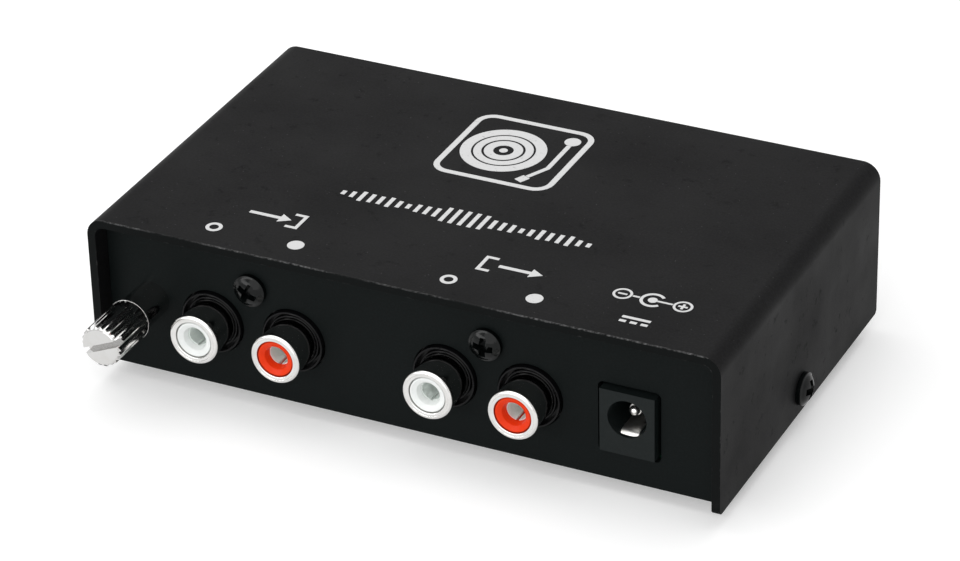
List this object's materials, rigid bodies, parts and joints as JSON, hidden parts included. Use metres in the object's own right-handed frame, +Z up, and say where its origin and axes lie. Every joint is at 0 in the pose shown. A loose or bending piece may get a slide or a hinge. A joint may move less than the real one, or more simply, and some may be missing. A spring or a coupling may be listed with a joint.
{
  "type": "phono preamplifier",
  "caption": "Small phono preamplifier in a folded black steel box, with input and output phono socket pairs, a power socket and a knurled ground terminal.",
  "frame": {"origin": "middle of the bounding box, on the surface that the feet stand on", "axes": "+X along the width, +Y from the socket panel to the back, +Z up"},
  "size_m": [0.1106, 0.0782, 0.03],
  "materials": {
    "cover_coat": "fine black powder coat",
    "panel_coat": "fine black powder coat, a little glossier",
    "foot_rubber": "matte black rubber",
    "black_screw": "black oxide",
    "black_plastic": "moulded black plastic",
    "socket_nickel": "bright nickel plate",
    "white_insulator": "moulded white plastic",
    "red_insulator": "moulded orange-red plastic",
    "contact_metal": "tinned brass",
    "power_contact": "nickel-plated brass",
    "terminal_nickel": "bright nickel plate",
    "tinned_brass": "tinned brass",
    "board_laminate": "green solder mask",
    "post_steel": "zinc plate",
    "post_screw": "black oxide",
    "chip_epoxy": "moulded epoxy with tinned legs",
    "capacitor_sleeve": "shrunk plastic sleeve",
    "film_case": "moulded case",
    "ceramic": "fired ceramic with plated ends",
    "resistor_body": "ceramic chip with plated ends"
  },
  "bodies": {
    "enclosure": {"top_cover": "cover_coat", "tray": "panel_coat", "cover_screw_left": "black_screw", "cover_screw_right": "black_screw", "foot_front_left": "foot_rubber", "foot_front_right": "foot_rubber", "foot_back_left": "foot_rubber", "foot_back_right": "foot_rubber", "input_socket_body": "black_plastic", "output_socket_body": "black_plastic", "input_left_shell": "socket_nickel", "input_right_shell": "socket_nickel", "output_left_shell": "socket_nickel", "output_right_shell": "socket_nickel", "input_left_insulator": "white_insulator", "input_right_insulator": "red_insulator", "output_left_insulator": "white_insulator", "output_right_insulator": "red_insulator", "input_left_contact": "contact_metal", "input_right_contact": "contact_metal", "output_left_contact": "contact_metal", "output_right_contact": "contact_metal", "input_socket_screw": "black_screw", "output_socket_screw": "black_screw", "power_socket_body": "black_plastic", "power_socket_pin": "power_contact", "power_socket_spring": "power_contact", "ground_post": "terminal_nickel", "ground_nut": "tinned_brass", "ground_lug": "tinned_brass", "circuit_board": "board_laminate", "board_posts": "post_steel", "board_screws": "post_screw", "left_amplifier_chip": "chip_epoxy", "right_amplifier_chip": "chip_epoxy", "voltage_regulator": "chip_epoxy", "supply_capacitors": "capacitor_sleeve", "coupling_capacitors": "capacitor_sleeve", "film_capacitors": "film_case", "resistors": "resistor_body", "ceramic_capacitors": "ceramic", "input_diode": "resistor_body"},
    "terminal_washer": {"ground_washer": "terminal_nickel"},
    "terminal_screw": {"ground_thumbscrew": "terminal_nickel"}
  },
  "joints": [
    {"name": "ground_screw_travel", "type": "slide", "parent": "enclosure", "child": "terminal_washer", "axis": [0, -1, 0], "range_m": [0, 0.005]},
    {"name": "ground_screw_turn", "type": "hinge", "parent": "terminal_washer", "child": "terminal_screw", "pos_m": [-0.0444, -0.0298, 0.0158], "axis": [0, -1, 0], "range_deg": [0, 3600]}
  ],
  "couplings": [
    {"joint": "ground_screw_turn", "follows": "ground_screw_travel", "rad_per_m": 12566}
  ]
}
